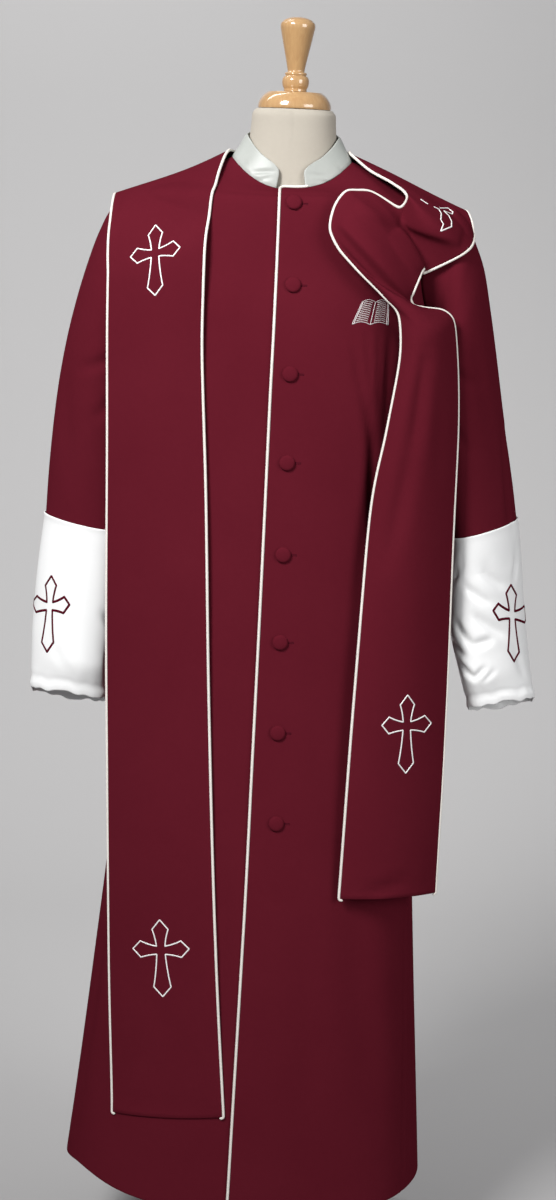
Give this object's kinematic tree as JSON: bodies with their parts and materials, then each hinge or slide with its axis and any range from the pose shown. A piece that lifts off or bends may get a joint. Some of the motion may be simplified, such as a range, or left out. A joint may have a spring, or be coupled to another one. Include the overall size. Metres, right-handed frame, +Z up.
{
  "type": "clergy robe with stole on limbless dress form",
  "caption": "Full-length buttoned burgundy clergy robe with white cuffs, collar and piping, and a piped stole with outline crosses, on a limbless dress form and stand.",
  "frame": {"origin": "middle of the stand base's underside, on the floor", "axes": "+Z up, the front faces -Y, +X is the wearer's left"},
  "size_m": [0.7348, 0.4392, 1.793],
  "materials": {
    "burgundy_cloth": "matt woven polyester",
    "white_satin": "satin",
    "white_piping": "satin-covered cord",
    "form_linen": "matt linen",
    "maple_wood": "clear gloss varnish",
    "stand_metal": "satin grey paint"
  },
  "bodies": {
    "root": {"front_left": "burgundy_cloth", "front_right": "burgundy_cloth", "robe_back": "burgundy_cloth", "sleeve_left": "burgundy_cloth", "sleeve_right": "burgundy_cloth", "cuff_left": "white_satin", "cuff_right": "white_satin", "collar": "white_satin", "front_piping": "white_piping", "stole_left": "burgundy_cloth", "stole_right": "burgundy_cloth", "stole_left_piping_inner": "white_piping", "stole_left_piping_outer": "white_piping", "stole_right_piping_inner": "white_piping", "stole_right_piping_outer": "white_piping", "form_torso": "form_linen", "neck_cap": "maple_wood", "neck_finial": "maple_wood", "stand_pole": "stand_metal", "stand_base": "stand_metal", "button_1": "burgundy_cloth", "button_2": "burgundy_cloth", "button_3": "burgundy_cloth", "button_4": "burgundy_cloth", "button_5": "burgundy_cloth", "button_6": "burgundy_cloth", "button_7": "burgundy_cloth", "button_8": "burgundy_cloth"}
  },
  "joints": []
}
